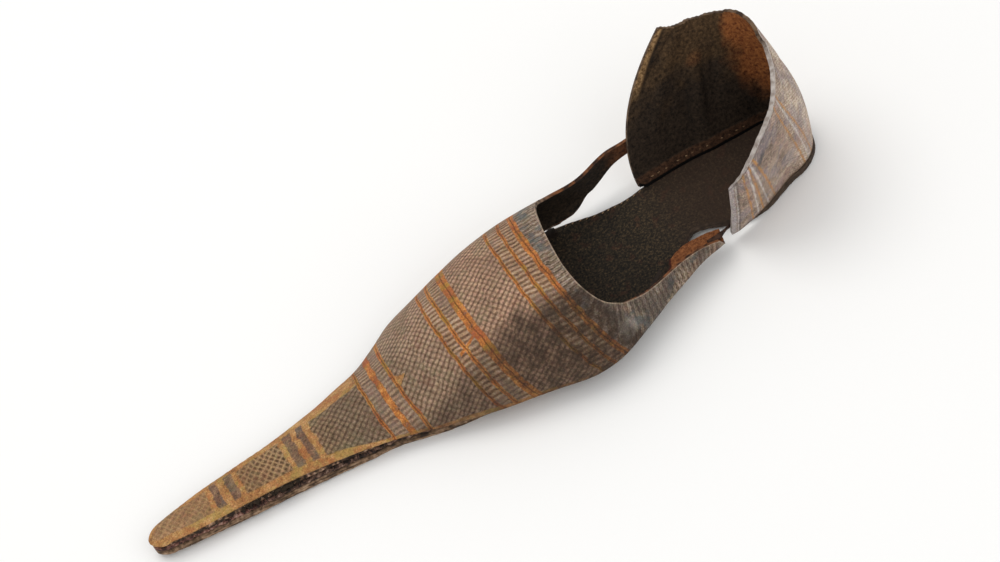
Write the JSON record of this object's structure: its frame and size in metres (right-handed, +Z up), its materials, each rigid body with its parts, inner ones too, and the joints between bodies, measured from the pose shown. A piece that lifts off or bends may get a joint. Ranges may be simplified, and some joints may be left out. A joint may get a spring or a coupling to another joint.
{
  "type": "medieval pointed shoe",
  "caption": "Right medieval pointed shoe: flat turnsole, low tooled vamp with a long point, open throat and a tall separate quarter round the heel.",
  "frame": {"origin": "on the floor under the middle of the heel seat", "axes": "+X towards the tip of the point, +Y to the wearer's left (the medial side of this right shoe), +Z up"},
  "size_m": [0.3722, 0.0993, 0.0813],
  "materials": {
    "sole_leather": "matt, dark brown, worn",
    "rand_leather": "matt, brown",
    "tooled_leather": "matt, tooled with a lattice and bands",
    "quarter_leather": "matt, grey-tan, tooled",
    "thong_leather": "matt, dark"
  },
  "bodies": {
    "root": {"outsole": "sole_leather", "rand": "rand_leather", "vamp": "tooled_leather", "quarter": "quarter_leather", "side_thong": "thong_leather"}
  },
  "joints": []
}
